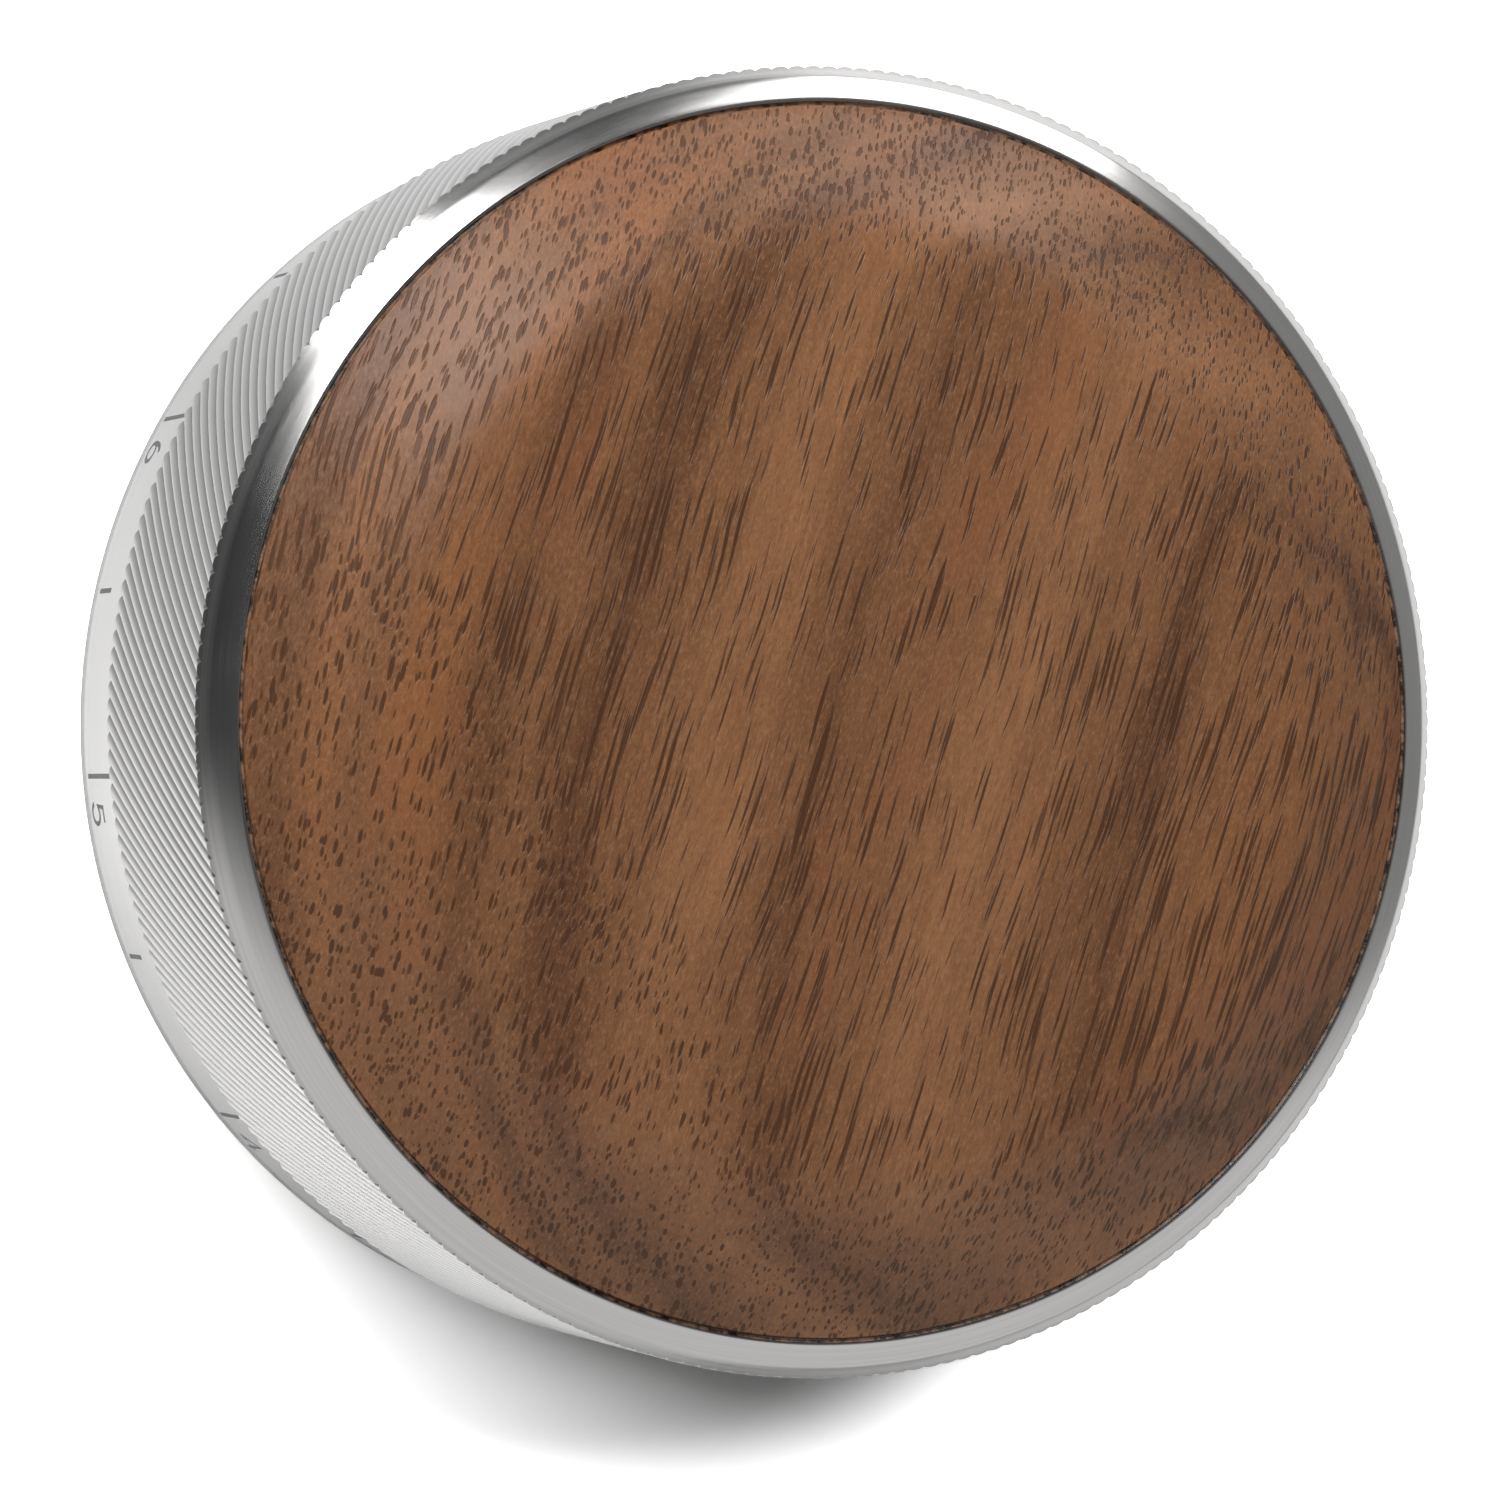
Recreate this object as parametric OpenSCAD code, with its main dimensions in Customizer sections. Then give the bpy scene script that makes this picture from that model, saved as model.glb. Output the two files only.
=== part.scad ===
// Depth-adjusting espresso tamper: a knurled steel handle with a domed wood top that screws up and
// down on a flat steel base. The scale on the handle's lower band is read against a line on the base.
// Frame: +Z up along the tamper's axis, origin at the middle of the flat tamping face.
// Lengths are in millimetres. Heights in the handle start from the handle's lower edge, which
// stands tamp_depth above the tamping face.

/* [Setting] */
// How far the base stands out below the handle: half a millimetre for each number on the scale
tamp_depth = 7.5; // [5:0.25:10]
// Angle of the handle about the axis, zero with the middle number over the index line
dial_angle = 0; // [-171.4:0.1:171.4]

/* [Base] */
// Diameter of the tamping face, a close fit in a 58.5 mm basket
base_d = 58.4; // [58:0.1:58.6]
// Height of the land that enters the basket
base_land_h = 7.2; // [6:0.1:7.2]
// Height of the base's side wall
base_h = 15; // [14.5:0.1:15.2]
// Thickness of the base under the carrier
base_floor = 4.2; // [4:0.1:4.4]
// Bevel round the tamping face
base_bevel = 0.4; // [0.2:0.1:0.8]

/* [Handle] */
// Diameter over the knurl, which spans the rim of a 58 mm basket
crest_d = 70; // [69:0.1:72]
// Diameter of the smooth band that carries the scale
band_d = 68.8; // [68:0.1:68.8]
// Height of the smooth band
band_h = 8.2; // [7.8:0.1:8.6]
// Height of the metal rim above the handle's lower edge
rim_h = 28.8; // [28.6:0.1:29.2]
// Height of the knurl's upper end
crest_h = 27.55; // [27.4:0.05:27.6]
// Width and height of the rim's outer facet; a flatter facet runs on from it to the wood
facet_w = 0.75; // [0.6:0.05:0.8]
// Diameter of the bore that the base slides in
cavity_d = 59.2; // [59.1:0.1:59.4]
// Depth of that bore up to the web
cavity_h = 18.6; // [18.6:0.1:18.6]
// Depth of the recess for the wood
recess_h = 3.8; // [3.6:0.1:3.8]

/* [Wood top] */
// Diameter of the wood
wood_d = 65.5; // [65:0.1:65.6]
// Rise of the wood's gentle bow
bow_h = 1; // [0.4:0.1:2]
// Slope that the rounded shoulder adds near the edge
shoulder_slope = 0.34; // [0.1:0.02:0.5]
// Where the shoulder starts to bend, as a share of the wood's radius
shoulder_start = 0.7; // [0.5:0.01:0.75]
// Where the shoulder has its full slope, as a share of the wood's radius
shoulder_full = 0.88; // [0.8:0.01:0.95]
// Thickness of the adhesive round and under the wood
bond_t = 0.2; // [0.1:0.05:0.3]

/* [Thread] */
// Diameter of the three-start thread on the hub's stem
thread_d = 24; // [22:0.5:25]
// Clearance between stem and carrier, on the radius
thread_gap = 0.05; // [0.02:0.01:0.1]
// Length of the stem below the hub's shoulder
stem_l = 13.1; // [12:0.1:13.1]

/* [Scale] */
// Number of marks round the scale, which are also the clicks of a full turn
divisions = 21; // [21:1:21]
// Width of a mark
mark_w = 0.28; // [0.2:0.02:0.4]
// Length of a numbered mark
long_mark = 5.3; // [4.5:0.1:5.5]
// Length of a half mark
short_mark = 2.5; // [2:0.1:3.5]
// Height of the marks' lower ends
mark_z = 1.6; // [1.2:0.1:1.8]
// Depth of the marks and numerals, which are cut and filled
mark_depth = 0.15; // [0.1:0.05:0.2]
// Height of a numeral
digit_h = 2.7; // [2.4:0.1:3.2]
// Width of a numeral
digit_w = 1.4; // [1.2:0.1:1.6]
// Line width of a numeral
digit_line = 0.3; // [0.2:0.02:0.4]

/* [Click ring] */
// Outer diameter of the click ring
ring_d = 56.8; // [56:0.1:57.4]
// Thickness of the click ring
ring_t = 3; // [3:0.1:3]
// Diameter of the hub's journal, which the ring turns on
journal_d = 32; // [32:0.1:32]
// Diameter of the detent balls
ball_d = 3; // [2.8:0.1:3]
// Radius of the circle that the detent balls run on
ball_circle_r = 24.6; // [24.4:0.1:25]
// Diameter of the two stop pins
stop_d = 3; // [2.8:0.1:3]
// Radius of the circle that the stop pins meet on
stop_circle_r = 20.3; // [20.3:0.1:20.4]
// Diameter of the drive pins
drive_d = 4; // [3.5:0.1:4]
// Radius of the circle that the drive pins and the carrier's screws stand on
drive_circle_r = 21; // [21:0.1:21.2]

/* [Hidden] */
$fn = 96;

eps = 0.01;                               // overshoot of a cut past the face it opens
sides = 3;                                // drive pins, detents and carrier screws, evenly round
step = 360 / divisions;                   // angle between two marks
front = -90;                              // the index line's side
middle_number = 5;                        // the number over the index line at zero dial angle

base_r = base_d / 2;
relief = 0.6;                             // the base's upper wall is smaller than its land
guide_r = base_r - relief;
wiper_z = 12.25;                          // height of the wiper ring, inside the handle at every depth
wiper_r = 1;
wiper_groove_w = 2.1;
cavity_r = cavity_d / 2;
wiper_circle_r = cavity_r - 0.05 - wiper_r;

carrier_r = 26;
seat_gap = 0.02;                          // between a piece and the seat that it fits
carrier_boss_r = 17;
carrier_boss_h = 2.3;
thread_r = thread_d / 2;

crest_r = crest_d / 2;
band_r = band_d / 2;
recess_floor = rim_h - recess_h;
wood_r = wood_d / 2;
recess_r = 33.05;

ring_gap = 0.3;                           // between the click ring and the web
ring_top = cavity_h - ring_gap;
ring_bottom = ring_top - ring_t;
journal_r = journal_d / 2;
washer_t = 0.6;
snap_t = 1;
play = 0.05;                              // running gap of faces and pins that move past each other
snap_top = ring_bottom - washer_t - play;
shoulder_h = snap_top - snap_t - 1;       // the hub's lower shoulder
groove_r = journal_r - 1.1;

ball_r = ball_d / 2;
ball_sink = 0.25;                         // the balls reach this far below the ring's top
ball_z = ring_top - ball_sink + ball_r;
spring_top = 23.2;
plug_r = 2;
plug_l = 1.6;

stop_r = stop_d / 2;
channel_h = 2;                            // depth of the web's channel for the stop pin
channel_w = stop_d + 0.8;

drive_r = drive_d / 2;
drive_seat = 2;                           // depth of the drive pins in the ring
drive_tip = 1;                            // height of the drive pins' lower ends
bush_r = 3;
bush_floor = 5.4;

screw_r = 2;
screw_hole_r = screw_r + 0.2;
head_r = 3.5;
head_h = 2.2;
hub_screw_circle_r = 11;
spigot_r = 6.8;
spigot_h = 4;
hub_bore_r = 6;

steel = [0.78, 0.78, 0.77];
dark_steel = [0.45, 0.45, 0.46];
walnut = [0.45, 0.31, 0.22];
mark_grey = [0.25, 0.25, 0.26];

// Places its children at count points on a circle
module around(count, r, start = 0) {
    for (i = [0 : count - 1])
        rotate([0, 0, start + i * 360 / count])
            translate([r, 0, 0])
                children();
}

// Everything in the handle stands on its lower edge and turns with the dial
module in_handle() {
    translate([0, 0, tamp_depth])
        rotate([0, 0, dial_angle])
            children();
}

// The click ring and its pins rise with the handle but don't turn
module on_ring() {
    translate([0, 0, tamp_depth])
        children();
}

// A plain pin or hole from z0 to z1
module rod(r, z0, z1) {
    translate([0, 0, z0])
        cylinder(r = r, h = z1 - z0);
}

// A flat ring from z0 to z1
module tube(r_in, r_out, z0, z1) {
    rotate_extrude()
        translate([r_in, z0])
            square([r_out - r_in, z1 - z0]);
}

// A socket head screw: the head sits above z_seat and the shank reaches down to z_tip
module cap_screw(z_seat, z_tip) {
    difference() {
        union() {
            rod(head_r, z_seat, z_seat + head_h);
            rod(screw_r, z_tip, z_seat);
        }
        translate([0, 0, z_seat + head_h - 1.3])
            cylinder(r = 1.45, h = 1.3 + eps, $fn = 6);
    }
}

// ---- The base, which stays still while the handle turns ----

module index_shape() {
    intersection() {
        tube(base_r - mark_depth, base_r, 1.6, 6.6);
        rotate([0, 0, front])
            translate([base_r - 1, -0.3, 1.6])
                cube([2, 0.6, 5]);
    }
}

module tamping_base() {
    groove_low = wiper_z - wiper_groove_w / 2;
    groove_high = wiper_z + wiper_groove_w / 2;
    groove_floor = wiper_circle_r - wiper_r - play;
    color(steel)
        difference() {
            rotate_extrude()
                polygon([
                    [0, 0],
                    [base_r - base_bevel, 0],
                    [base_r, base_bevel],
                    [base_r, base_land_h],
                    [guide_r, base_land_h + relief / 2],
                    [guide_r, groove_low],
                    [groove_floor, groove_low],
                    [groove_floor, groove_high],
                    [guide_r, groove_high],
                    [guide_r, base_h - base_bevel],
                    [guide_r - base_bevel, base_h],
                    [carrier_r + seat_gap, base_h],
                    [carrier_r + seat_gap, base_floor],
                    [0, base_floor]
                ]);
            around(sides, drive_circle_r, front)
                rod(screw_r, 1.8, base_floor + eps);
            index_shape();
        }
}

// The threaded centre of the base, with a long boss for the thread and seats for bushes and screws
module base_carrier() {
    color([0.72, 0.73, 0.75])
        difference() {
            union() {
                rod(carrier_r, base_floor, base_h);
                rod(carrier_boss_r, base_h, base_h + carrier_boss_h);
            }
            rod(thread_r + thread_gap, base_floor - 1, base_h + carrier_boss_h + 1);
            around(sides, drive_circle_r, front + 60)
                rod(bush_r, bush_floor, base_h + eps);
            around(sides, drive_circle_r, front) {
                rod(screw_hole_r, base_floor - 1, base_h);
                rod(head_r + 0.2, base_h - head_h - 0.1, base_h + eps);
            }
        }
}

module carrier_screws() {
    color(dark_steel)
        around(sides, drive_circle_r, front)
            cap_screw(base_h - head_h - 0.1, 1.9);
}

// Bronze bushes that the drive pins slide in
module pin_bushes() {
    color([0.76, 0.6, 0.36])
        around(sides, drive_circle_r, front + 60)
            tube(drive_r + play, bush_r, bush_floor, base_h);
}

// Rubber ring that centres the base in the handle and keeps coffee out
module wiper_ring() {
    color([0.1, 0.1, 0.1])
        rotate_extrude()
            translate([wiper_circle_r, wiper_z])
                circle(r = wiper_r);
}

module index_mark() {
    color(mark_grey)
        index_shape();
}

// ---- The click ring, which rises with the handle but is kept from turning by its pins ----

module click_ring() {
    color(dark_steel)
        on_ring()
            difference() {
                tube(journal_r + play, ring_d / 2, ring_bottom, ring_top);
                // raceway that the balls cross from one dimple to the next
                tube(ball_circle_r - 0.95, ball_circle_r + 0.95, ring_top - ball_sink - play, ring_top + 1);
                around(divisions, ball_circle_r, front)
                    translate([0, 0, ring_top - 0.8])
                        cylinder(r1 = 0.3, r2 = 1.2, h = 0.9);
                around(sides, drive_circle_r, front + 60)
                    rod(drive_r, ring_bottom - 1, ring_bottom + drive_seat);
                around(1, stop_circle_r, front)
                    rod(stop_r, ring_bottom + 0.6, ring_top + 1);
            }
}

module drive_pins() {
    bevel = 0.4;
    color(steel)
        on_ring()
            around(sides, drive_circle_r, front + 60) {
                rod(drive_r, drive_tip + bevel, ring_bottom + drive_seat);
                translate([0, 0, drive_tip])
                    cylinder(r1 = drive_r - bevel, r2 = drive_r, h = bevel);
            }
}

module stop_pin() {
    color(steel)
        on_ring()
            around(1, stop_circle_r, front)
                rod(stop_r, ring_bottom + 0.6, cavity_h + channel_h - 0.4);
}

module thrust_washer() {
    color([0.93, 0.93, 0.9])
        on_ring()
            tube(journal_r + 0.1, 18.7, ring_bottom - washer_t, ring_bottom);
}

// ---- The handle ----

// Angle on the handle of a scale value from 0 to 10: the values fall as the angle grows
function mark_angle(value) = front + (middle_number - value) * 2 * step;

// Cuts its 2D children, drawn with x to the right and y up, into the band at the given angle
module on_band(angle) {
    intersection() {
        rotate([0, 0, angle])
            translate([band_r - 2, 0, 0])
                rotate([90, 0, 90])
                    linear_extrude(height = 4)
                        children();
        tube(band_r - mark_depth, band_r, 0.2, band_h - 0.2);
    }
}

module scale_mark_shapes() {
    for (i = [0 : divisions - 1]) {
        length = i % 2 == 0 ? long_mark : short_mark;
        on_band(mark_angle(i / 2))
            translate([-mark_w / 2, mark_z])
                square([mark_w, length]);
    }
}

// A straight pen stroke between two points
module stroke(from, to) {
    along = to - from;
    translate(from)
        rotate([0, 0, atan2(along[1], along[0])])
            translate([0, -digit_line / 2])
                square([norm(along), digit_line]);
}

// A ring of the pen's width, outer radius r
module pen_ring(r) {
    difference() {
        circle(r = r);
        circle(r = r - digit_line);
    }
}

// The part of a pen ring inside a box given by its lower left corner and size
module pen_arc(centre, r, corner, size) {
    intersection() {
        translate(centre)
            pen_ring(r);
        translate(corner)
            square(size);
    }
}

// One numeral, digit_w by digit_h, with its lower left corner at the origin
module digit(n) {
    w = digit_w;
    h = digit_h;
    t = digit_line;
    r = w / 2;
    bowl = (h + t) / 4;                    // radius of one of two stacked rings
    if (n == 0) {
        pen_arc([r, r], r, [0, 0], [w, r]);
        pen_arc([r, h - r], r, [0, h - r], [w, r]);
        translate([0, r])
            square([t, h - w]);
        translate([w - t, r])
            square([t, h - w]);
    }
    if (n == 1) {
        translate([r, 0])
            square([t, h]);
        stroke([r - 0.45, h - 0.62], [r + t / 2, h - t / 2]);
    }
    if (n == 2) {
        pen_arc([r, h - r], r, [0, h - r], [w, r]);
        pen_arc([r, h - r], r, [r, h - w], [r, r + eps]);
        stroke([w - t, h - r - 0.42], [t / 2, t / 2]);
        square([w, t]);
    }
    if (n == 3) {
        pen_arc([r, h - bowl], bowl, [r - bowl, h - bowl], [2 * bowl, bowl]);
        pen_arc([r, h - bowl], bowl, [r, h - 2 * bowl], [bowl, 2 * bowl]);
        pen_arc([r, bowl], bowl, [r, 0], [bowl, 2 * bowl]);
        pen_arc([r, bowl], bowl, [r - bowl, 0], [2 * bowl, bowl]);
    }
    if (n == 4) {
        translate([w - 2 * t, 0])
            square([t, h]);
        translate([0, 0.6])
            square([w, t]);
        stroke([t / 2, 0.6 + t / 2], [w - 1.5 * t, h - t / 2]);
    }
    if (n == 5) {
        translate([t / 2, h - t])
            square([w - t / 2, t]);
        translate([t / 2, h / 2])
            square([t, h / 2]);
        pen_arc([r, r], r, [r, 0], [r, w]);
        pen_arc([r, r], r, [0, 0], [w, r]);
        translate([t / 2, w - t])
            square([r - t / 2, t]);
    }
    if (n == 6) {
        translate([r, r])
            pen_ring(r);
        translate([0, r])
            square([t, h - w]);
        pen_arc([r, h - r], r, [0, h - r], [w, r]);
    }
    if (n == 7) {
        translate([0, h - t])
            square([w, t]);
        stroke([0.45, t / 2], [w - t / 2, h - t / 2]);
    }
    if (n == 8) {
        translate([r, bowl])
            pen_ring(bowl);
        translate([r, h - bowl])
            pen_ring(bowl);
    }
    if (n == 9)
        translate([w, h])
            rotate([0, 0, 180])
                digit(6);
}

// The numeral stands to the right of its mark
module scale_numeral_shapes() {
    gap = 1.25;
    for (value = [0 : 10])
        on_band(mark_angle(value))
            translate([gap + mark_w, mark_z])
                if (value < 10)
                    digit(value);
                else {
                    digit(1);
                    translate([digit_w, 0])
                        digit(0);
                }
}

module handle_shell() {
    color(steel)
        in_handle()
            difference() {
                rotate_extrude()
                    polygon([
                        [0, cavity_h],
                        [cavity_r, cavity_h],
                        [cavity_r, 0.4],
                        [cavity_r + 0.4, 0],
                        [band_r - 0.2, 0],
                        [band_r, 0.2],
                        [band_r, band_h],
                        [crest_r, band_h + crest_r - band_r],
                        [crest_r, crest_h],
                        [crest_r - facet_w, crest_h + facet_w],
                        [recess_r + 0.1, rim_h],
                        [recess_r, rim_h - 0.1],
                        [recess_r, recess_floor],
                        [0, recess_floor]
                    ]);
                // spigot of the hub, and its screws
                rod(spigot_r, cavity_h - 1, cavity_h + spigot_h + 0.1);
                around(4, hub_screw_circle_r, 45) {
                    rod(screw_hole_r, cavity_h - 1, recess_floor + 1);
                    rod(head_r + 0.1, recess_floor - head_h - 0.1, recess_floor + 1);
                }
                // channel that the stop pin travels in, and the hole of the stop post
                tube(
                    stop_circle_r - channel_w / 2, stop_circle_r + channel_w / 2,
                    cavity_h - 1, cavity_h + channel_h
                );
                around(1, stop_circle_r, -front)
                    rod(stop_r, cavity_h - 1, recess_floor + 1);
                // detents: ball and spring below, tapped for the plug above
                around(sides, ball_circle_r, front) {
                    rod(ball_r + play, cavity_h - 1, recess_floor + 1);
                    rod(plug_r, spring_top - 0.2, recess_floor + 1);
                }
                scale_mark_shapes();
                scale_numeral_shapes();
            }
}

// How far the shoulder has fallen at a share p of the radius: its slope rises smoothly from
// shoulder_start to shoulder_full and is even from there to the edge
function shoulder_drop(p) =
    let (span = shoulder_full - shoulder_start)
    let (t = max(0, min(1, (p - shoulder_start) / span)))
    wood_r * shoulder_slope * (span * (pow(t, 3) - pow(t, 4) / 2) + max(0, p - shoulder_full));

function dome_z(r) =
    let (p = r / wood_r)
    rim_h + bow_h * (1 - p * p) + shoulder_drop(1) - shoulder_drop(p);

module wood_inlay() {
    rings = 24;
    edge = 0.2;
    outline = [for (i = [0 : rings]) let (r = (wood_r - edge) * i / rings) [r, dome_z(r)]];
    color(walnut)
        in_handle()
            rotate_extrude()
                polygon(concat(
                    outline,
                    [
                        [wood_r, rim_h - edge],
                        [wood_r, recess_floor + bond_t],
                        [0, recess_floor + bond_t]
                    ]
                ));
}

// The adhesive that fills the gap round the wood and under it
module inlay_bond() {
    color([0.06, 0.055, 0.05])
        in_handle() {
            tube(0, recess_r, recess_floor, recess_floor + bond_t);
            tube(wood_r, recess_r, recess_floor + bond_t - eps, rim_h - 0.35);
        }
}

module thread_hub() {
    color(dark_steel)
        in_handle()
            difference() {
                rotate_extrude()
                    polygon([
                        [hub_bore_r, shoulder_h - stem_l],
                        [thread_r - 0.6, shoulder_h - stem_l],
                        [thread_r, shoulder_h - stem_l + 0.6],
                        [thread_r, shoulder_h],
                        [journal_r - 0.2, shoulder_h],
                        [journal_r, shoulder_h + 0.2],
                        [journal_r, snap_top - snap_t - play],
                        [groove_r, snap_top - snap_t - play],
                        [groove_r, snap_top],
                        [journal_r, snap_top],
                        [journal_r, cavity_h],
                        [spigot_r - seat_gap, cavity_h],
                        [spigot_r - seat_gap, cavity_h + spigot_h],
                        [0, cavity_h + spigot_h],
                        [0, cavity_h - 2],
                        [hub_bore_r, cavity_h - 2]
                    ]);
                around(4, hub_screw_circle_r, 45)
                    rod(screw_r, 14, cavity_h + 1);
            }
}

// Open spring ring in the journal's groove, which holds the click ring up
module snap_ring() {
    color(steel)
        in_handle()
            difference() {
                tube(groove_r + play, journal_r + 1.6, snap_top - snap_t, snap_top);
                rotate([0, 0, 60])
                    translate([groove_r - 2, -1.5, snap_top - snap_t - 1])
                        cube([8, 3, snap_t + 2]);
            }
}

module hub_screws() {
    color(dark_steel)
        in_handle()
            around(4, hub_screw_circle_r, 45)
                cap_screw(recess_floor - head_h - 0.1, 14.4);
}

module detent_balls() {
    color(steel)
        in_handle()
            around(sides, ball_circle_r, front)
                translate([0, 0, ball_z])
                    sphere(r = ball_r);
}

// A coil spring of a round wire from z0 to z1, as one closed sweep
module coil_spring(mean_r, wire_r, z0, z1, turns) {
    per_turn = 10;
    wire_sides = 6;
    rings = turns * per_turn;
    rise = z1 - z0 - 2 * wire_r;
    points = [
        for (i = [0 : rings]) let (a = i * 360 / per_turn, z = z0 + wire_r + rise * i / rings)
            for (j = [0 : wire_sides - 1]) let (b = j * 360 / wire_sides, r = mean_r + wire_r * cos(b))
                [r * cos(a), r * sin(a), z + wire_r * sin(b)]
    ];
    walls = [
        for (i = [0 : rings - 1]) for (j = [0 : wire_sides - 1])
            let (k = (j + 1) % wire_sides, low = i * wire_sides, high = low + wire_sides)
                each [[low + j, low + k, high + j], [low + k, high + k, high + j]]
    ];
    start = [for (j = [wire_sides - 1 : -1 : 0]) j];
    end = [for (j = [0 : wire_sides - 1]) rings * wire_sides + j];
    polyhedron(points = points, faces = concat(walls, [start], [end]));
}

module detent_springs() {
    color(steel)
        in_handle()
            around(sides, ball_circle_r, front)
                coil_spring(1.05, 0.16, ball_z + ball_r + 0.02, spring_top - 0.02, 4);
}

module detent_plugs() {
    color(dark_steel)
        in_handle()
            around(sides, ball_circle_r, front)
                difference() {
                    rod(plug_r, spring_top, spring_top + plug_l);
                    translate([0, 0, spring_top + 0.6])
                        cylinder(r = 1.1, h = plug_l, $fn = 6);
                }
}

module stop_post() {
    color(steel)
        in_handle()
            around(1, stop_circle_r, -front)
                rod(stop_r, ring_top + 0.2, recess_floor - 0.4);
}

module scale_marks() {
    color(mark_grey)
        in_handle()
            scale_mark_shapes();
}

module scale_numerals() {
    color(mark_grey)
        in_handle()
            scale_numeral_shapes();
}

tamping_base();
base_carrier();
carrier_screws();
pin_bushes();
wiper_ring();
index_mark();
click_ring();
drive_pins();
stop_pin();
thrust_washer();
handle_shell();
wood_inlay();
inlay_bond();
thread_hub();
snap_ring();
hub_screws();
detent_balls();
detent_springs();
detent_plugs();
stop_post();
scale_marks();
scale_numerals();
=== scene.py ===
"""Looks of the espresso tamper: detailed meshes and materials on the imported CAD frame."""

import math
import random

import bpy
import numpy as np
from mathutils import Matrix, Vector


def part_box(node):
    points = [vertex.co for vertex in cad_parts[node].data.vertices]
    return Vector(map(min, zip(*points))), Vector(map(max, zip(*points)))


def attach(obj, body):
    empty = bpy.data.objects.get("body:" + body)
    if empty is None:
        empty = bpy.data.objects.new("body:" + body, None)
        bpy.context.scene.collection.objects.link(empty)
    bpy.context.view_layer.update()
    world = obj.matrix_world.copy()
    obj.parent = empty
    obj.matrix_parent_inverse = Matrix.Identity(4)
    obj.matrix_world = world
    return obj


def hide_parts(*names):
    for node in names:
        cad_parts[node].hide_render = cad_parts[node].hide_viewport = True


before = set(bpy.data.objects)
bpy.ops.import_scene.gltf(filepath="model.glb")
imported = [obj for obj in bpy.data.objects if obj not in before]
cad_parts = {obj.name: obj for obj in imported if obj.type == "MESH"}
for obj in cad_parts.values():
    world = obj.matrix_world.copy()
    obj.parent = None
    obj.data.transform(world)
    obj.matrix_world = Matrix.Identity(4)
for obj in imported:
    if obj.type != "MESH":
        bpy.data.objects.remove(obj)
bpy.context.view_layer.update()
random.seed(7)

MM = 0.001
TAU = 2 * math.pi

# ---- Sizes, in millimetres, as in the CAD source ----

CREST_R = 35.0                  # the knurl, over its crests
CREST_H = 27.55                 # upper end of the crests
BAND_R = 34.4                   # the smooth band that carries the scale
BAND_H = 8.2
RIM_H = 28.8                    # from the handle's lower edge to its rim
FACET_R = 34.25                 # where the rim's outer and inner facets meet
CAVITY_R = 29.6                 # the space that the base moves in
CAVITY_H = 18.6
RECESS_R = 33.05                # the seat of the wood
RECESS_H = 3.8
CHANNEL_R = (18.4, 22.2)        # the channel in the web's underside
CHANNEL_H = 2.0
WOOD_R = 32.75
BOW_H = 1.0                     # height of the wood's even bow
SHOULDER_SLOPE = 0.34           # slope that its shoulder adds,
SHOULDER_START = 0.70           # from this share of its radius
SHOULDER_FULL = 0.88            # and in full from this one
BOND_T = 0.2                    # adhesive under the wood
BASE_R = 29.2                   # the land of the base
BASE_LAND_H = 7.2
BASE_GUIDE_R = 28.6             # the wall that slides in the handle
BASE_H = 15.0
BASE_BORE_R = 26.02
BASE_FLOOR_H = 4.2
WIPER_SEAT_R = 27.5
WIPER_SEAT_H = (11.2, 13.3)
DIVISIONS = 21
FRONT = math.radians(-90)       # where the index line is

# Height of the handle's lower edge above the tamping face at rest
EDGE_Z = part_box("handle_shell")[0].z / MM

# ---- Meshes ----


def add_mesh(name, points, faces, smooth_angle=30):
    """A new mesh object from points in millimetres, shaded smooth with sharp edges kept."""
    mesh = bpy.data.meshes.new(name)
    mesh.from_pydata((np.asarray(points, float) * MM).tolist(), [], faces)
    mesh.validate()
    mesh.polygons.foreach_set("use_smooth", [True] * len(mesh.polygons))
    mesh.set_sharp_from_angle(angle=math.radians(smooth_angle))
    obj = bpy.data.objects.new(name, mesh)
    bpy.context.scene.collection.objects.link(obj)
    return obj


def grid_faces(rows, columns, closed=True):
    """Quads of a grid whose columns close on themselves; closed joins the last row to the first."""
    faces = []
    for i in range(rows if closed else rows - 1):
        low = i * columns
        high = (i + 1) % rows * columns
        for j in range(columns):
            k = (j + 1) % columns
            faces.append((low + j, low + k, high + k, high + j))
    return faces


def lathe(name, outline, columns):
    """A closed solid: the outline of (radius, height) turned about the axis. It starts and ends
    at radius 0, and runs along the outside from the lower end to the upper one."""
    angles = np.arange(columns) * TAU / columns
    middle = outline[1:-1]
    points = []
    for r, z in middle:
        points.extend(np.stack([r * np.cos(angles), r * np.sin(angles), np.full(columns, z)], 1))
    faces = grid_faces(len(middle), columns, closed=False)
    first_end = len(points)
    points.append((0, 0, outline[0][1]))
    points.append((0, 0, outline[-1][1]))
    last = (len(middle) - 1) * columns
    for j in range(columns):
        k = (j + 1) % columns
        faces.append((first_end, k, j))
        faces.append((first_end + 1, last + j, last + k))
    return add_mesh(name, points, faces)


# ---- Handle shell: knurl, polished rim and smooth band in one closed mesh ----

GROOVES = 236
GROOVE_DEPTH = 0.34
RUNOUT = 0.45                   # share of the depth that is left where a groove meets the rim
HELIX_ANGLE = math.radians(29)
FACET_MID_R = 33.7              # one more ring on the rim's inner facet
# Places across one land, from groove to groove, where the mesh has a column
LAND_STEPS = np.array([0.0, 0.05, 0.11, 0.19, 0.32, 0.5, 0.68, 0.81, 0.89, 0.95])


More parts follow.
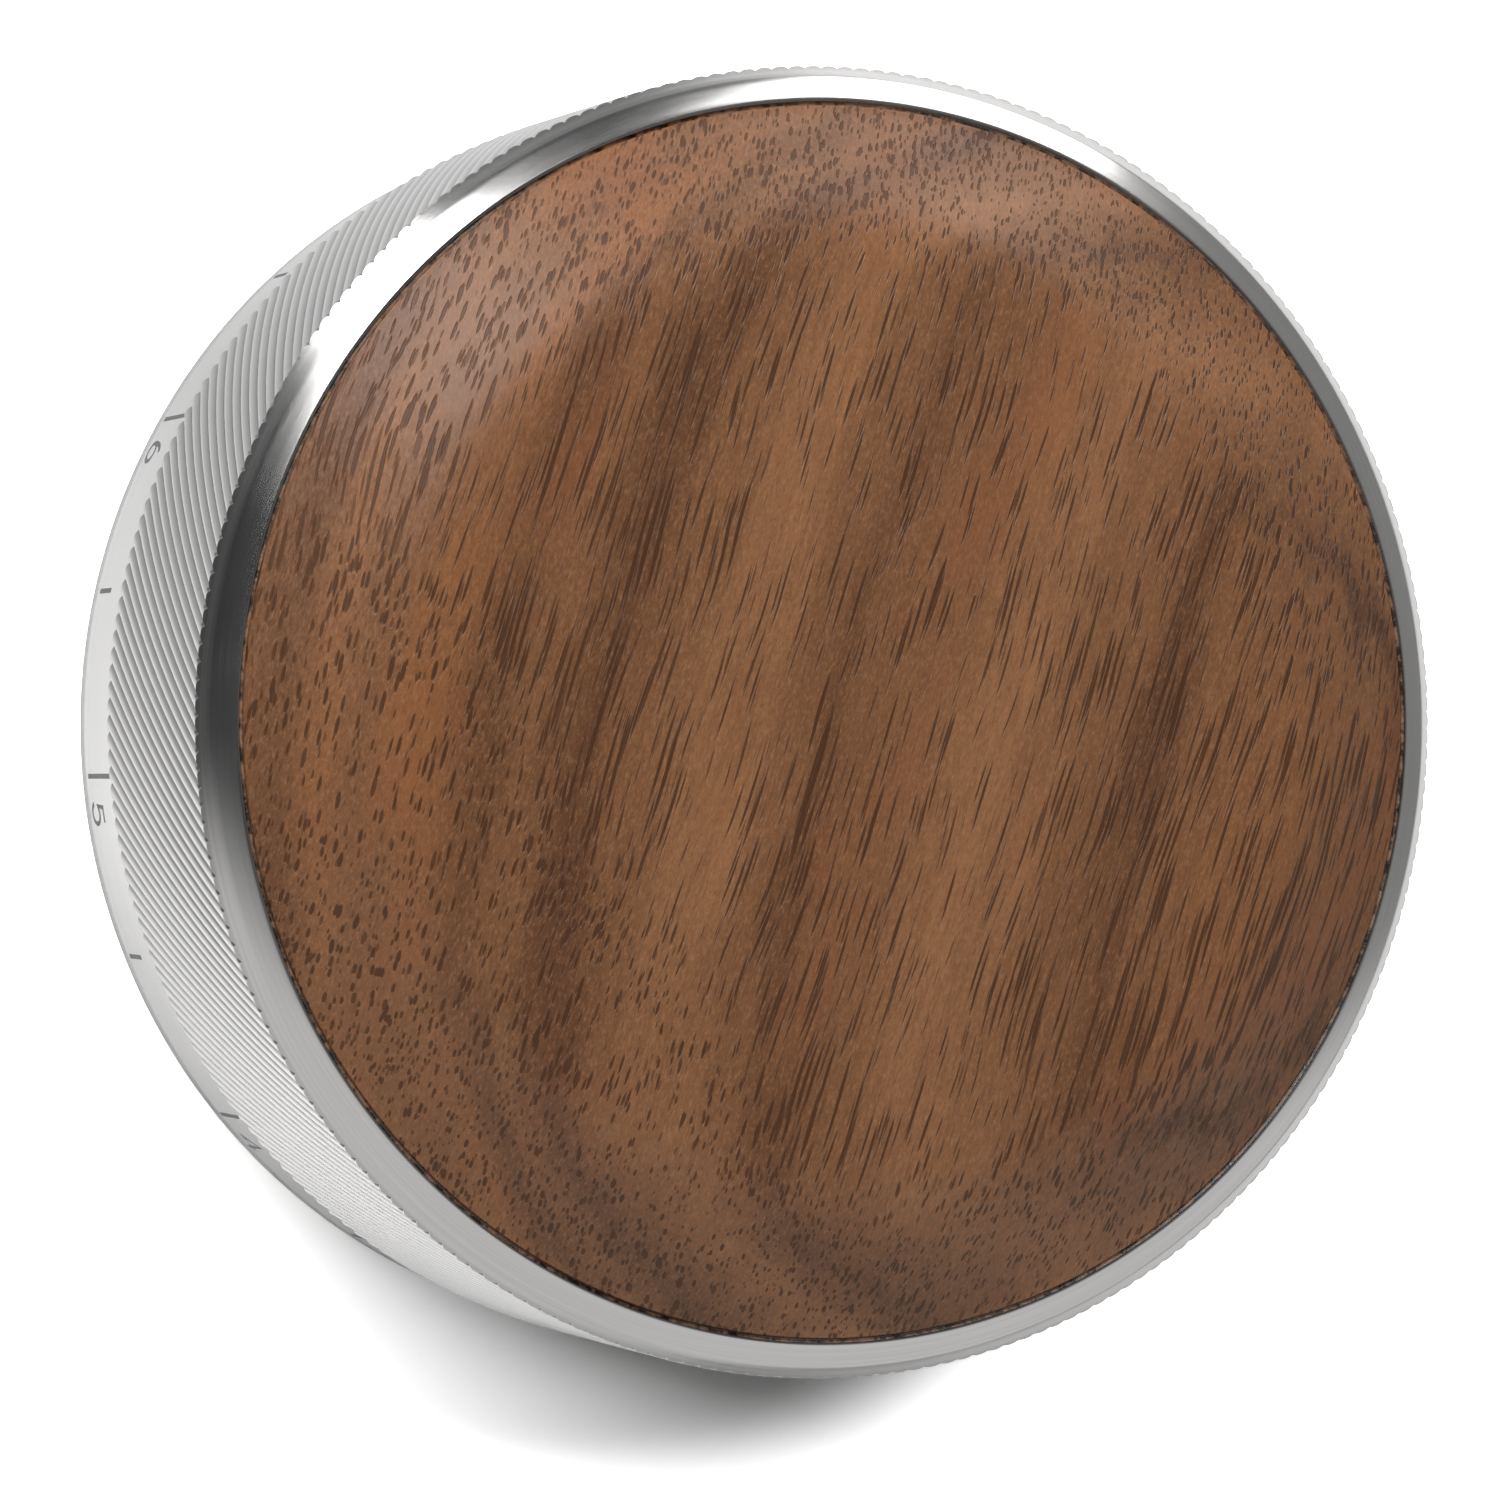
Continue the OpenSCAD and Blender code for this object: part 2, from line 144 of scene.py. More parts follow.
def shell_mesh():
    """The knurled cup. Each of its rings starts at the angle where the grooves are at that height."""
    steps = np.tile(LAND_STEPS, GROOVES)
    turn = (np.repeat(np.arange(GROOVES), len(LAND_STEPS)) + steps) * TAU / GROOVES
    depth = GROOVE_DEPTH * (1 - np.sin(np.pi * steps)) ** 1.7
    land = CREST_R - depth
    flat = np.zeros_like(turn)

    def twist(z):
        return (z - BAND_H) * math.tan(HELIX_ANGLE) / CREST_R

    # Lands end on a cone at each end of the knurl, so deep places end further out
    low_z = BAND_H + land - BAND_R
    high_z = CREST_H + depth * RUNOUT
    rows = []

    def ring(r, z, angle):
        rows.append(np.stack([(r + flat) * np.cos(angle), (r + flat) * np.sin(angle), z + flat], 1))

    start = turn + twist(low_z)
    for r, z in [
        (CAVITY_R, CAVITY_H), (CAVITY_R, 0.4), (CAVITY_R + 0.12, 0.12), (CAVITY_R + 0.4, 0),
        (BAND_R - 0.2, 0), (BAND_R - 0.06, 0.06), (BAND_R, 0.2), (BAND_R, 2), (BAND_R, BAND_H),
    ]:
        ring(r, z, start)
    ring(land, low_z, start)
    for share in (0.06, 0.14, 0.23, 0.32, 0.41, 0.5, 0.59, 0.68, 0.77, 0.86, 0.93, 0.965):
        z = low_z + (high_z - low_z) * share
        ring(land, z, turn + twist(z))
    end = turn + twist(high_z)
    ring(CREST_R - depth * RUNOUT, high_z, end)
    facet_h = CREST_H + CREST_R - FACET_R
    inner_slope = (RIM_H - facet_h) / (FACET_R - RECESS_R - 0.1)
    for r, z in [
        (CREST_R - 0.40, CREST_H + 0.40), (FACET_R + 0.14, facet_h - 0.14),
        (FACET_R + 0.05, facet_h - 0.06), (FACET_R - 0.06, facet_h + 0.01),
        (FACET_R - 0.16, facet_h + 0.15 * inner_slope),
        (FACET_MID_R, facet_h + (FACET_R - FACET_MID_R) * inner_slope),
        (RECESS_R + 0.15, RIM_H - 0.06 * inner_slope), (RECESS_R + 0.04, RIM_H),
        (RECESS_R - 0.04, RIM_H - 0.01), (RECESS_R - 0.07, RIM_H - 0.05),
        (RECESS_R - 0.05, RIM_H - 0.12), (RECESS_R, RIM_H - 0.2), (RECESS_R, RIM_H - RECESS_H),
    ]:
        ring(r, z, end)
    columns = len(turn)
    points = np.concatenate(rows)
    points[:, 2] += EDGE_Z
    faces = grid_faces(len(rows), columns, closed=False)

    # The web's two faces close the mesh with fewer columns, one for each land
    coarse = np.arange(GROOVES) * len(LAND_STEPS)
    top_row = (len(rows) - 1) * columns

    def add_disc(rings, first_row, angle, upwards):
        """Closes a hole: a ring of fans from the fine row, then coarse rings, then the middle."""
        nonlocal points
        base = len(points)
        circle = np.stack([np.cos(angle[coarse]), np.sin(angle[coarse])], 1)
        for r, z in rings:
            points = np.concatenate([
                points, np.column_stack([r * circle, np.full(GROOVES, z + EDGE_Z)])
            ])
        middle = len(points)
        points = np.concatenate([points, [(0, 0, rings[-1][1] + EDGE_Z)]])
        for i in range(GROOVES):
            n = (i + 1) % GROOVES
            edge = [first_row + (coarse[i] + s) % columns for s in range(len(LAND_STEPS) + 1)]
            fan = edge + [base + n, base + i]
            faces.append(fan if upwards else fan[::-1])
            for row in range(len(rings) - 1):
                a = base + row * GROOVES
                b = a + GROOVES
                quad = (a + i, a + n, b + n, b + i)
                faces.append(quad if upwards else quad[::-1])
            last = base + (len(rings) - 1) * GROOVES
            fan = (last + i, last + n, middle)
            faces.append(fan if upwards else fan[::-1])

    floor_z = RIM_H - RECESS_H
    add_disc([(RECESS_R - 0.5, floor_z), (20, floor_z)], top_row, end, True)
    channel_top = CAVITY_H + CHANNEL_H
    add_disc(
        [
            (CAVITY_R - 0.5, CAVITY_H), (CHANNEL_R[1], CAVITY_H), (CHANNEL_R[1], channel_top),
            (CHANNEL_R[0], channel_top), (CHANNEL_R[0], CAVITY_H), (10, CAVITY_H),
        ],
        0, start, False,
    )
    return add_mesh("shell", points, faces, 40)


# ---- Wood ----


def shoulder_drop(p):
    """How far the shoulder has fallen at this share of the radius."""
    span = SHOULDER_FULL - SHOULDER_START
    t = min(1.0, max(0.0, (p - SHOULDER_START) / span))
    past = max(0.0, p - SHOULDER_FULL)
    return WOOD_R * SHOULDER_SLOPE * (span * (t**3 - t**4 / 2) + past)


def dome_z(r):
    """Height of the wood's top above the handle's lower edge."""
    p = r / WOOD_R
    return RIM_H + BOW_H * (1 - p * p) + shoulder_drop(1) - shoulder_drop(p)


def wood_mesh():
    """The domed top, with a small rounded edge."""
    bottom = RIM_H - RECESS_H + BOND_T
    edge = 0.08                     # radius of the rounded edge
    outline = [(0, bottom), (WOOD_R, bottom), (WOOD_R, RIM_H - 1), (WOOD_R + 0.03, RIM_H - edge)]
    for step in range(1, 4):
        a = step * math.pi / 8
        drop = edge * (1 - math.sin(a))
        outline.append((WOOD_R - edge * (1 - math.cos(a)), dome_z(WOOD_R - edge) - drop))
    for share in np.linspace(1, 0, 60):
        outline.append(((WOOD_R - edge) * share, dome_z((WOOD_R - edge) * share)))
    return lathe("wood_top", [(r, z + EDGE_Z) for r, z in outline], 360)


def bond_mesh():
    """The dark adhesive line, a little uneven along the rim and here and there sunken."""
    columns = 720
    inner_r = 5
    angles = np.arange(columns) * TAU / columns
    wave = sum(
        random.uniform(0.4, 1) * np.sin(n * angles + random.uniform(0, TAU)) / n**0.4
        for n in (3, 5, 8, 13, 21, 34, 55, 89, 144)
    )
    wave = wave / np.abs(wave).max()
    floor_z = RIM_H - RECESS_H
    rows = []
    for r, z, uneven in [
        (RECESS_R - 0.01, floor_z + 0.01, 0), (RECESS_R - 0.01, RIM_H - 0.16, 0.05),
        (RECESS_R - 0.07, RIM_H - 0.19, 0.07), (WOOD_R + 0.13, RIM_H - 0.24, 0.09),
        (WOOD_R + 0.01, RIM_H - 0.2, 0.05), (WOOD_R + 0.01, floor_z + BOND_T, 0),
        (inner_r, floor_z + BOND_T, 0), (inner_r, floor_z + 0.01, 0),
    ]:
        rows.append(np.stack([
            r * np.cos(angles), r * np.sin(angles), EDGE_Z + z + uneven * wave
        ], 1))
    return add_mesh("bond_line", np.concatenate(rows), grid_faces(len(rows), columns))


# ---- Base ----


def base_mesh():
    """The flat disc and its wall, with the wiper ring's seat round it and a bore for the carrier."""
    outline = [
        (0, 0), (10, 0), (20, 0), (BASE_R - 1, 0), (BASE_R - 0.4, 0), (BASE_R - 0.34, 0.03),
        (BASE_R - 0.04, 0.33), (BASE_R, 0.4), (BASE_R, 1), (BASE_R, BASE_LAND_H - 1),
        (BASE_R, BASE_LAND_H), (BASE_GUIDE_R, BASE_LAND_H + 0.3), (BASE_GUIDE_R, WIPER_SEAT_H[0]),
        (WIPER_SEAT_R, WIPER_SEAT_H[0]), (WIPER_SEAT_R, WIPER_SEAT_H[1]),
        (BASE_GUIDE_R, WIPER_SEAT_H[1]), (BASE_GUIDE_R, BASE_H - 0.4),
        (BASE_GUIDE_R - 0.4, BASE_H), (BASE_BORE_R, BASE_H), (BASE_BORE_R, BASE_FLOOR_H),
        (0, BASE_FLOOR_H),
    ]
    return lathe("base_disc", outline, 512)


# ---- Scale ----

MARK_W = 0.28
MARK_Z = 1.6                    # lower end of marks and numerals
LONG_MARK = 5.3
SHORT_MARK = 2.5
MARK_PROUD = 0.004              # filled marks stand out of the wall and reach into it
MARK_SUNK = 0.05
INDEX_W = 0.6
INDEX_LINE = 5
DIGIT_W = 1.4
DIGIT_H = 2.7
DIGIT_GAP = 1.42                # from a mark's middle to its numeral
PEN = 0.27


def mark_angle(value):
    """Angle of a scale value on the handle; the values fall as the angle grows."""
    return FRONT + (5 - value) * 2 * TAU / DIVISIONS


def arc(cx, cy, rx, ry, start, end, count):
    """Points of an elliptic arc, angles in degrees."""
    return [
        (cx + rx * math.cos(math.radians(a)), cy + ry * math.sin(math.radians(a)))
        for a in np.linspace(start, end, count)
    ]


def digit_lines(n):
    """Pen lines of a numeral in a unit box, 0 to 1 both ways."""
    full = arc(0.5, 0.5, 0.5, 0.5, 90, 450, 32)
    low_bowl = arc(0.5, 0.3, 0.5, 0.3, 90, 450, 28)
    return {
        0: [full],
        1: [[(0.16, 0.78), (0.56, 1.0), (0.56, 0.0)]],
        2: [arc(0.5, 0.71, 0.48, 0.29, 170, -35, 16) + [(0.0, 0.0), (1.0, 0.0)]],
        3: [
            arc(0.47, 0.75, 0.43, 0.25, 160, -90, 16) + arc(0.47, 0.26, 0.5, 0.26, 80, -165, 16),
        ],
        4: [[(1.0, 0.27), (0.0, 0.27), (0.74, 1.0), (0.74, 0.0)]],
        5: [[(0.9, 1.0), (0.16, 1.0), (0.08, 0.53)] + arc(0.47, 0.32, 0.5, 0.32, 125, -160, 22)],
        6: [low_bowl, arc(0.72, 0.3, 0.72, 0.74, 180, 103, 14)],
        7: [[(0.0, 1.0), (1.0, 1.0), (0.34, 0.0)]],
        8: [arc(0.5, 0.76, 0.42, 0.24, 90, 450, 28), arc(0.5, 0.27, 0.5, 0.27, 90, 450, 28)],
        9: [arc(0.5, 0.7, 0.5, 0.3, 90, 450, 28), arc(0.28, 0.7, 0.72, 0.74, 0, -77, 14)],
    }[n]


def ribbon(line, width):
    """Left and right edge points of a pen line of even width, with its ends cut square."""
    line = np.array(line, float)
    closed = np.allclose(line[0], line[-1])
    ahead = np.roll(line, -1, 0) - line
    behind = line - np.roll(line, 1, 0)
    if closed:
        ahead[-1] = line[1] - line[0]
        behind[0] = line[-1] - line[-2]
    else:
        ahead[-1] = behind[-1]
        behind[0] = ahead[0]
    ahead = ahead / np.linalg.norm(ahead, axis=1)[:, None]
    behind = behind / np.linalg.norm(behind, axis=1)[:, None]
    along = ahead + behind
    along = along / np.linalg.norm(along, axis=1)[:, None]
    miter = np.clip(1 / np.maximum(0.35, (along * ahead).sum(1)), 1, 2)
    side = np.stack([-along[:, 1], along[:, 0]], 1) * (width / 2 * miter)[:, None]
    return line + side, line - side


def wrapped_marks(name, shapes, radius=BAND_R, foot=EDGE_Z):
    """Thin closed pieces on a round wall. Each shape is (angle, left, right): strips of left and
    right points, with x along the wall and y up from its foot."""
    points, faces = [], []
    for angle, left, right in shapes:
        base = len(points)
        for r in (radius + MARK_PROUD, radius - MARK_SUNK):
            for side in (left, right):
                for x, y in side:
                    a = angle + x / radius
                    points.append((r * math.cos(a), r * math.sin(a), y + foot))
        n = len(left)
        # Outer left, outer right, inner right and inner left strip
        loop = [base, base + n, base + 3 * n, base + 2 * n]
        for i in range(n - 1):
            for a, b in zip(loop, loop[1:] + loop[:1]):
                faces.append((a + i, b + i, b + i + 1, a + i + 1))
        faces.append(tuple(loop[i] for i in (0, 3, 2, 1)))
        faces.append(tuple(first + n - 1 for first in loop))
    return add_mesh(name, points, faces, 20)


def line_shape(angle, width, height):
    """An upright line at this angle."""
    top = MARK_Z + height
    return (
        angle, [(-width / 2, MARK_Z), (-width / 2, top)], [(width / 2, MARK_Z), (width / 2, top)]
    )


def index_mark():
    """The line on the base's wall that the scale is read against."""
    return wrapped_marks("index_line", [line_shape(FRONT, INDEX_W, INDEX_LINE)], BASE_R, 0)


def scale_marks():
    """A long line for each number, and a short one half-way to the next."""
    return wrapped_marks("scale_lines", [
        line_shape(mark_angle(i / 2), MARK_W, SHORT_MARK if i % 2 else LONG_MARK)
        for i in range(DIVISIONS)
    ])


def scale_numerals():
    """The numbers 0 to 10, each to the right of its line."""
    shapes = []
    size = np.array([DIGIT_W - PEN, DIGIT_H - PEN])
    for value in range(11):
        for place, letter in enumerate(str(value)):
            corner = np.array([DIGIT_GAP + place * DIGIT_W * 1.02 + PEN / 2, MARK_Z + PEN / 2])
            for line in digit_lines(int(letter)):
                drawn = np.array(line) * size + corner
                shapes.append((mark_angle(value), *ribbon(drawn, PEN)))
    return wrapped_marks("scale_digits", shapes)


# ---- Materials ----


class Graph:
    """One material's node tree; each call adds a node and returns its output."""

    def __init__(self, name):
        self.material = bpy.data.materials.new(name)
        self.material.use_nodes = True
        self.tree = self.material.node_tree
        self.tree.nodes.clear()
        self.out = self.tree.nodes.new("ShaderNodeOutputMaterial")
        self.shader = self.tree.nodes.new("ShaderNodeBsdfPrincipled")
        self.tree.links.new(self.shader.outputs[0], self.out.inputs[0])

    def put(self, socket, value):
        if isinstance(value, bpy.types.NodeSocket):
            self.tree.links.new(value, socket)
        elif value is not None:
            socket.default_value = value

    def set(self, **values):
        """Sets or links the shader's inputs: base_color becomes Base Color, and so on."""
        names = {"specular": "Specular IOR Level"}
        for key, value in values.items():
            self.put(self.shader.inputs[names.get(key, key.replace("_", " ").title())], value)

    def position(self):
        """The point in millimetres, in the row frame."""
        return self.scaled(self.tree.nodes.new("ShaderNodeTexCoord").outputs["Object"], 1 / MM)

    def scaled(self, vector, factor):
        node = self.tree.nodes.new("ShaderNodeVectorMath")
        node.operation = "SCALE"
        self.put(node.inputs[0], vector)
        node.inputs["Scale"].default_value = factor
        return node.outputs["Vector"]

    def math(self, operation, a, b=None):
        node = self.tree.nodes.new("ShaderNodeMath")
        node.operation = operation
        self.put(node.inputs[0], a)
        self.put(node.inputs[1], b)
        return node.outputs[0]

    def add(self, a, b):
        return self.math("ADD", a, b)

    def take(self, a, b):
        return self.math("SUBTRACT", a, b)

    def times(self, a, b):
        return self.math("MULTIPLY", a, b)

    def larger(self, a, b):
        return self.math("MAXIMUM", a, b)

    def from_axis(self, x, y):
        """Distance from the Z axis."""
        return self.math("SQRT", self.add(self.times(x, x), self.times(y, y)))

    def split(self, vector):
        node = self.tree.nodes.new("ShaderNodeSeparateXYZ")
        self.put(node.inputs[0], vector)
        return node.outputs

    def join(self, x, y, z):
        node = self.tree.nodes.new("ShaderNodeCombineXYZ")
        for socket, value in zip(node.inputs, (x, y, z)):
            self.put(socket, value)
        return node.outputs[0]

    def noise(self, vector, detail, roughness=0.5):
        node = self.tree.nodes.new("ShaderNodeTexNoise")
        self.put(node.inputs["Vector"], vector)
        for name, value in (("Scale", 1.0), ("Detail", detail), ("Roughness", roughness)):
            node.inputs[name].default_value = value
        return node.outputs["Fac"]

    def cells(self, vector):
        """Distance to the nearest cell point, and that cell's random colour."""
        node = self.tree.nodes.new("ShaderNodeTexVoronoi")
        self.put(node.inputs["Vector"], vector)
        node.inputs["Scale"].default_value = 1.0
        return node.outputs["Distance"], node.outputs["Color"]

    def remap(self, value, low, high, new_low=0.0, new_high=1.0, smooth=False):
        node = self.tree.nodes.new("ShaderNodeMapRange")
        node.interpolation_type = "SMOOTHSTEP" if smooth else "LINEAR"
        for socket, item in zip(node.inputs, (value, low, high, new_low, new_high)):
            self.put(socket, item)
        return node.outputs[0]

    def ramp(self, value, stops):
        """A smooth ramp; each stop is (place, colour), or (place, level) for a grey one."""
        node = self.tree.nodes.new("ShaderNodeValToRGB")
        node.color_ramp.interpolation = "EASE"
        elements = node.color_ramp.elements
        while len(elements) < len(stops):
            elements.new(0.5)
        for element, (place, colour) in zip(elements, stops):
            element.position = place
            element.color = colour if hasattr(colour, "__len__") else (colour, colour, colour, 1)
        self.put(node.inputs[0], value)
        return node.outputs[0]

    def mix(self, share, a, b, blend="MIX"):
        node = self.tree.nodes.new("ShaderNodeMix")
        node.data_type = "RGBA"
        node.blend_type = blend
        self.put(node.inputs[0], share)
        self.put(node.inputs[6], a)
        self.put(node.inputs[7], b)
        return node.outputs[2]

    def shaded(self, colour, level):
        """The colour, made darker or lighter by a factor that changes over the surface."""
        return self.mix(1.0, colour, self.join(level, level, level), "MULTIPLY")

    def bump(self, height, distance, strength):
        node = self.tree.nodes.new("ShaderNodeBump")
        node.inputs["Strength"].default_value = strength
        node.inputs["Distance"].default_value = distance
        self.put(node.inputs["Height"], height)
        return node.outputs[0]


def srgb(r, g, b):
    """Linear colour of an sRGB colour given from 0 to 255."""
    shares = (r / 255, g / 255, b / 255)
    linear = [c / 12.92 if c <= 0.04045 else ((c + 0.055) / 1.055) ** 2.4 for c in shares]
    return (*linear, 1)


def use(obj, material):
    """Gives the whole object this one material."""
    obj.data.materials.clear()
    obj.data.materials.append(material)


# Direction of the wood's fibres on the tamper, and the tilt of its growth rings
FIBRE = math.radians(157)
RING_TILT = math.radians(12)
# The grain dives into the wood more and more past this line
DIVE_START = 17.0
DIVE_RATE = 0.12
# The growth rings in view lie between these places, in millimetres across them
RING_LOW, RING_HIGH = -11, 8
# Layers of pores: spacing across the fibres and along them, offset, and strength
PORE_LAYERS = (
    (0.36, 9.0, 0.0, 1.0), (0.42, 13.0, 7.3, 1.0), (0.33, 7.0, 3.9, 0.95), (0.38, 10.0, 5.1, 0.9),
    (0.28, 5.0, 1.7, 0.7),
)


def walnut():
    """Walnut cut from one solid block: the growth rings and pores run through it."""
    g = Graph("walnut")
    x, y, z = g.split(g.position())
    # u runs along the fibres, v across them on the face, and w is the height from the top
    u = g.add(g.times(x, math.cos(FIBRE)), g.times(y, math.sin(FIBRE)))
    v = g.take(g.times(x, math.sin(FIBRE)), g.times(y, math.cos(FIBRE)))
    w = g.take(z, EDGE_Z + dome_z(0))

    def grain(along, across, depth, detail=2):
        """Noise with this many cycles per millimetre along and across the fibres."""
        return g.noise(g.join(g.times(u, along), g.times(v, across), depth), detail)

    def moved(value, noise, reach):
        """The value, shifted by up to half the reach either way."""
        return g.add(value, g.times(g.take(noise, 0.5), reach))

    # The grain wanders a little, and dives on one side
    v_grain = moved(v, grain(0.05, 0.08, 3.1), 2.0)
    w_grain = moved(w, grain(0.07, 0.12, 8.7), 0.7)
    past = g.take(g.add(g.times(u, -1.0), g.times(v, -0.81)), DIVE_START)
    dive = g.larger(past, 0.0)
    dive = g.times(g.times(dive, g.remap(dive, 0, 8)), DIVE_RATE)
    w_grain = g.take(w_grain, dive)

    # Growth rings, cut at a slant by the dome
    ring = g.add(g.times(v_grain, math.sin(RING_TILT)), g.times(w, math.cos(RING_TILT)))
    ring = moved(ring, grain(0.06, 0.5, w, 3), 1.3)
    ring = g.add(ring, g.times(u, 0.012))
    place = g.remap(ring, RING_LOW, RING_HIGH)

    def rings(*stops):
        """A ramp over the growth rings, from (millimetres, colour or level); the ends are open."""
        first, *between, last = stops
        span = RING_HIGH - RING_LOW
        return g.ramp(place, [
            (0.0, first), *(((mm - RING_LOW) / span, item) for mm, item in between), (1.0, last)
        ])

    light = srgb(97, 66, 43)
    warm = srgb(89, 57, 33)
    middle = srgb(79, 52, 32)
    dark = srgb(62, 39, 23)
    deep = srgb(51, 31, 18)
    figure = rings(
        middle, (-9.0, dark), (-7.8, warm), (-6.4, middle), (-5.4, warm), (-4.5, dark), (-3.9, middle),
        (-3.1, deep), (-2.5, middle), (-1.5, light), (-0.8, middle), (-0.35, dark), (0.15, middle),
        (1.6, light), (2.75, middle), (3.2, deep), (3.55, middle), (4.4, warm), middle,
    )
    # The dark rings fade in and out along the grain
    fade = grain(0.05, 0.12, 21.0)
    figure = g.mix(g.remap(fade, 0.4, 0.7, 0.0, 0.55, True), figure, middle)

    # Fibres: fine lines along the grain, then a fleck
    fine = g.noise(g.join(g.times(u, 0.25), g.times(v_grain, 3.4), g.times(w_grain, 3.4)), 5, 0.75)
    broad = g.noise(g.join(g.times(u, 0.03), g.times(v_grain, 0.45), 5.0), 3, 0.6)
    fleck = g.noise(g.join(g.times(u, 2.4), g.times(v, 6.5), g.times(w, 6.5)), 3, 0.8)
    colour = g.mix(g.remap(fine, 0.35, 0.65), g.mix(0.4, figure, srgb(52, 33, 19)), figure)
    colour = g.mix(g.remap(broad, 0.3, 0.7, 0.0, 0.38), colour, srgb(66, 43, 28))
    colour = g.mix(g.remap(fleck, 0.5, 0.8, 0.0, 0.45), colour, srgb(120, 86, 62))
    colour = g.mix(g.remap(fleck, 0.28, 0.45, 0.3, 0.0), colour, srgb(54, 34, 21))
    red = grain(0.05, 0.12, 11.0)
    colour = g.mix(g.remap(red, 0.52, 0.72, 0.0, 0.3, True), colour, srgb(90, 53, 31))

    # Pores: long tubes along the grain. The surface cuts them into streaks or, on a slope, dots
    crowd = rings(
        0.5, (-9.0, 0.8), (-7.8, 0.55), (-6.4, 0.7), (-5.4, 0.45), (-4.5, 0.85), (-3.9, 0.6),
        (-3.1, 1.0), (-2.5, 0.55), (-1.5, 0.12), (-0.8, 0.5), (-0.35, 0.95), (0.15, 0.5),
        (1.6, 0.15), (2.75, 0.6), (3.3, 0.95), (4.4, 1.0), 0.9,
    )
    # They are widest in the dark rings, and wider but fewer where the grain dives
    width = g.remap(g.split(crowd)[0], 0.0, 1.0, 0.76, 1.16)
    width = g.times(width, g.remap(dive, 0.0, 1.2, 1.0, 1.12))
    left_out = g.remap(dive, 0.0, 1.2, 0.0, 0.45)
    pore = 0.0
    for across, along, offset, strength in PORE_LAYERS:
        near, chance = g.cells(g.join(
            g.add(g.times(u, 1 / along), offset),
            g.times(v_grain, 1 / across),
            g.times(w_grain, 1 / across),
        ))
        radius = g.times(g.remap(g.split(chance)[0], 0.0, 1.0, 0.13, 0.305), width)
        inside = g.remap(g.take(radius, near), -0.03, 0.07, smooth=True)
        kept = g.remap(g.take(g.split(chance)[1], left_out), 0.0, 0.04)
        pore = g.larger(pore, g.times(g.times(inside, kept), strength))
    colour = g.mix(g.times(pore, 0.9), colour, srgb(39, 20, 6))

    height = g.take(g.times(g.add(fine, fleck), 0.2), pore)
    g.set(
        base_color=colour,
        roughness=g.add(g.remap(fleck, 0.2, 0.8, 0.23, 0.35), g.times(pore, 0.08)),
        specular=0.28,
        normal=g.bump(height, 0.05 * MM, 0.6),
    )
    return g.material


def knurl_shade(g, shade, radius, z):
    """Darkens the knurl with painted shade: darker deep in the grooves and somewhat darker on the
    crests, and a painted dark spot of shade where each groove ends at the rim.
    """
    low_z, rim_z = EDGE_Z + BAND_H, EDGE_Z + CREST_H
    above = g.remap(z, low_z + 0.1, low_z + 0.6)
    below = g.remap(z, rim_z - 0.05, rim_z + 0.25, 1.0, 0.0)
    outside = g.remap(radius, BAND_R + 0.05, BAND_R + 0.15)
    zone = g.times(g.times(above, below), outside)
    # Painted shade, deepest at the groove bottoms and lightest on the crests
    groove_shade = g.remap(radius, CREST_R - 0.3, CREST_R - 0.03, 0.3, 0.84)
    shade = g.times(shade, g.remap(zone, 0, 1, 1.0, groove_shade))
    # Painted shade at each groove's end: it lies where the surface is deeper than the bevel that cuts
    # the crests
    under_bevel = g.take(CREST_R + rim_z, g.add(radius, z))
    nick_shade = g.times(g.remap(under_bevel, 0.02, 0.09), g.remap(z, rim_z - 0.5, rim_z - 0.3))
    nick_shade = g.times(nick_shade, g.remap(radius, CREST_R - 0.07, CREST_R - 0.03, 1.0, 0.0))
    nick_shade = g.times(nick_shade, g.remap(z, rim_z + 0.2, rim_z + 0.3, 1.0, 0.0))
    return g.times(shade, g.remap(nick_shade, 0, 1, 1.0, 0.22))


STEEL_ROUGHNESS = 0.17


def turned_steel(name, colour, streak, knurled=False):
    """Lathe-turned steel: fine lines run round the axis, at each height and radius.
    streak is their number per millimetre."""
    g = Graph(name)
    x, y, z = g.split(g.position())
    radius = g.from_axis(x, y)
    angle = g.math("ARCTAN2", y, x)

    def lines_round(per_radian, per_mm, detail, roughness):
        return g.noise(g.join(
            g.times(angle, per_radian), g.times(radius, per_mm), g.times(z, per_mm)
        ), detail, roughness)

    lines = lines_round(2.0, streak, 3, 0.6)
    scratches = lines_round(9.0, streak * 2.7, 4, 0.75)
    cloud = g.noise(g.scaled(g.position(), 0.12), 3)
    shade = g.remap(lines, 0.3, 0.7, 0.93, 1.03)
    if knurled:
        shade = knurl_shade(g, shade, radius, z)
    g.set(
        base_color=g.shaded(colour, shade),
        metallic=1.0,
        roughness=g.add(
            g.remap(cloud, 0.3, 0.7, STEEL_ROUGHNESS - 0.03, STEEL_ROUGHNESS + 0.04),
            g.remap(scratches, 0.55, 0.8, 0.0, 0.09),
        ),
        normal=g.bump(g.add(lines, g.times(scratches, 0.3)), 0.004 * MM, 0.6),
    )
    return g.material


def plain_metal(name, colour, roughness):
    """Machined metal of the parts inside."""
    g = Graph(name)
    spots = g.noise(g.scaled(g.position(), 0.8), 4, 0.6)
    fine = g.noise(g.scaled(g.position(), 8.0), 3, 0.6)
    g.set(
        base_color=g.shaded(colour, g.remap(spots, 0.3, 0.7, 0.88, 1.05)),
        metallic=1.0,
        roughness=g.remap(fine, 0.3, 0.7, roughness - 0.05, roughness + 0.07),
        normal=g.bump(fine, 0.01 * MM, 0.5),
    )
    return g.material


